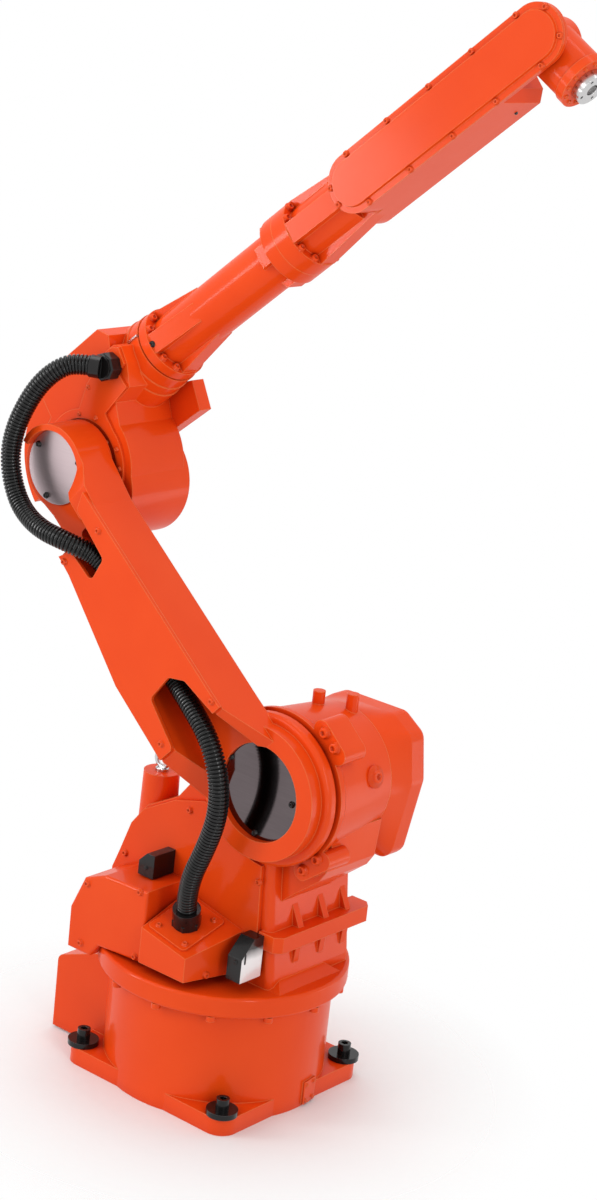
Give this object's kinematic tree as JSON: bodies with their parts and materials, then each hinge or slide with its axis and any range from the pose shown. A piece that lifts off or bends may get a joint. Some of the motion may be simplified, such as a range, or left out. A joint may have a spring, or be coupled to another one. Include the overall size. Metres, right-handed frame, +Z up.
{
  "type": "industrial robot arm",
  "caption": "Six-axis articulated industrial robot arm in orange paint, with a round base, side-mounted lower arm, slim forearm, offset wrist and black cable hoses.",
  "frame": {"origin": "on the floor under the middle of the base, on the turning axis of the turret", "axes": "+X ahead, where the forearm points; +Y to the side away from the lower arm; +Z up"},
  "size_m": [1.0601, 0.4769, 1.9711],
  "materials": {
    "orange_paint": "glossy smooth orange enamel",
    "black_steel": "black-oxide steel",
    "black_plastic": "smooth black plastic",
    "hose_rubber": "corrugated black conduit, half gloss",
    "silver_cover": "satin silver",
    "bare_steel": "machined bright steel"
  },
  "bodies": {
    "base": {"base_casting": "orange_paint", "terminal_cover": "orange_paint", "anchor_washers": "black_steel", "anchor_bolts": "black_steel"},
    "turret": {"turret_casting": "orange_paint", "j2_motor_cover": "orange_paint", "turret_side_cover": "orange_paint", "j1_motor_cover": "orange_paint", "gland_box": "orange_paint", "gland_plate": "orange_paint", "turret_gland": "black_plastic", "rear_stop_block": "black_plastic", "front_stop_block": "black_plastic", "lifting_eye": "bare_steel", "ring_bolts": "orange_paint", "lower_hose": "hose_rubber"},
    "lower_arm": {"lower_arm_casting": "orange_paint", "lower_arm_cover": "orange_paint", "j2_cap": "silver_cover", "j3_cap": "silver_cover", "upper_hose": "hose_rubber"},
    "elbow": {"elbow_casting": "orange_paint", "j4_motor_cover": "orange_paint", "elbow_side_cover": "orange_paint", "j3_motor_cover": "orange_paint", "elbow_gland": "black_plastic", "zero_mark": "bare_steel"},
    "forearm": {"forearm_tube": "orange_paint", "wrist_housing": "orange_paint", "wrist_cover": "orange_paint"},
    "wrist": {"wrist_body": "orange_paint", "wrist_ring": "orange_paint"},
    "flange": {"tool_flange": "bare_steel"}
  },
  "joints": [
    {"name": "j1_turn", "type": "hinge", "parent": "base", "child": "turret", "pos_m": [0, 0, 0], "axis": [0, 0, 1], "range_deg": [-170, 170]},
    {"name": "j2_lower_arm", "type": "hinge", "parent": "turret", "child": "lower_arm", "pos_m": [0.15, 0, 0.62], "axis": [0, 1, 0], "range_deg": [-15, 110], "deforming": ["lower_hose"]},
    {"name": "j3_elbow", "type": "hinge", "parent": "lower_arm", "child": "elbow", "pos_m": [-0.35454, 0, 1.07589], "axis": [0, -1, 0], "range_deg": [-70, 75], "deforming": ["upper_hose"]},
    {"name": "j4_forearm_turn", "type": "hinge", "parent": "elbow", "child": "forearm", "pos_m": [-0.42613, 0, 1.15941], "axis": [0.7593, 0, 0.6508], "range_deg": [-180, 180]},
    {"name": "j5_wrist_bend", "type": "hinge", "parent": "forearm", "child": "wrist", "pos_m": [0.44551, 0, 1.9065], "axis": [0, -1, 0], "range_deg": [-42, 187]},
    {"name": "j6_flange_turn", "type": "hinge", "parent": "wrist", "child": "flange", "pos_m": [0.53626, 0, 1.8498], "axis": [0.848, 0, -0.5299], "range_deg": [-360, 360]}
  ]
}
